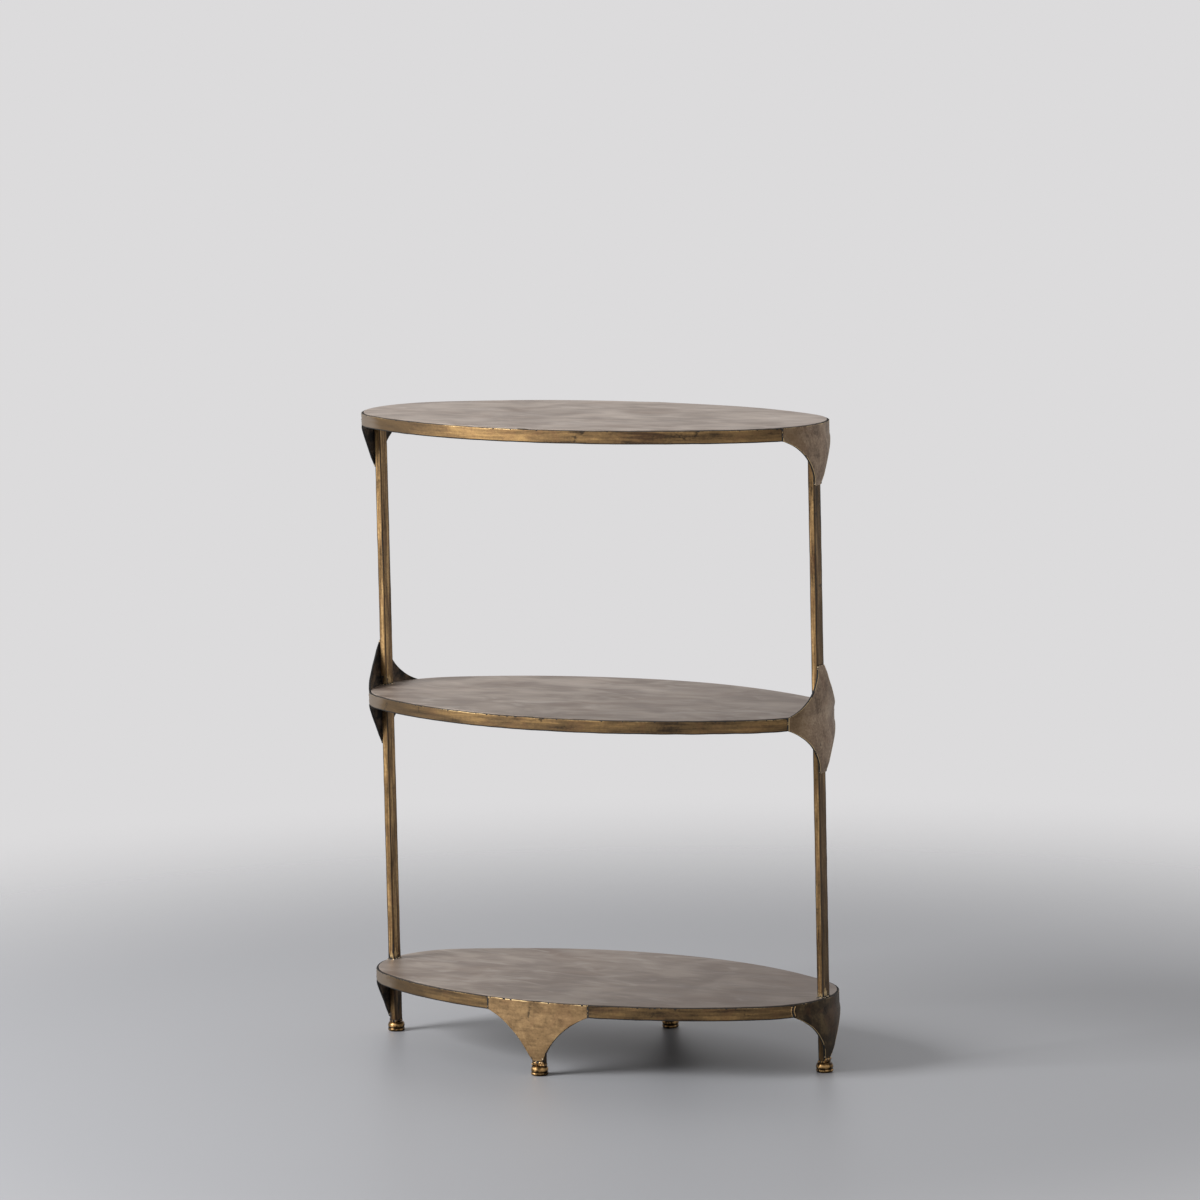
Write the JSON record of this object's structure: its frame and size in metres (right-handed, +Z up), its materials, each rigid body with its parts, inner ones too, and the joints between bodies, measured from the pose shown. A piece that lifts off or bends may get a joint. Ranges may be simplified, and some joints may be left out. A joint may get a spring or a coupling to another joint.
{
  "type": "three-tier shelf",
  "caption": "Free-standing oval shelf unit: sheet-metal tiers in edge bands, carried on flat-bar posts by leaf-shaped gussets, on turned feet.",
  "frame": {"origin": "on the floor, under the middle of the oval shelves", "axes": "+Z up, +X along the length of the ovals, -Y towards the front"},
  "size_m": [0.7684, 0.413, 0.956],
  "materials": {
    "plate_finish": "burnished taupe-brown lacquer on steel sheet, cloudy, satin",
    "band_finish": "antiqued gold-brown patina, bright along the arrises",
    "gusset_finish": "antiqued gold-brown patina, smudged and brushed",
    "bar_finish": "antiqued gold-brown patina, streaked along the bar",
    "foot_finish": "polished dark bronze"
  },
  "bodies": {
    "root": {"bottom_band_back_left": "band_finish", "bottom_band_back_right": "band_finish", "bottom_band_front_left": "band_finish", "bottom_band_front_right": "band_finish", "bottom_gusset_back": "gusset_finish", "bottom_gusset_front": "gusset_finish", "bottom_gusset_left": "gusset_finish", "bottom_gusset_right": "gusset_finish", "bottom_plate": "plate_finish", "foot_back": "foot_finish", "foot_front": "foot_finish", "foot_left": "foot_finish", "foot_right": "foot_finish", "leg_back": "bar_finish", "leg_front": "bar_finish", "leg_left": "bar_finish", "leg_right": "bar_finish", "lower_post_left": "bar_finish", "lower_post_right": "bar_finish", "middle_band_back": "band_finish", "middle_band_front": "band_finish", "middle_gusset_left": "gusset_finish", "middle_gusset_right": "gusset_finish", "middle_plate": "plate_finish", "top_band_back": "band_finish", "top_band_front": "band_finish", "top_gusset_left": "gusset_finish", "top_gusset_right": "gusset_finish", "top_plate": "plate_finish", "upper_post_left": "bar_finish", "upper_post_right": "bar_finish"}
  },
  "joints": []
}
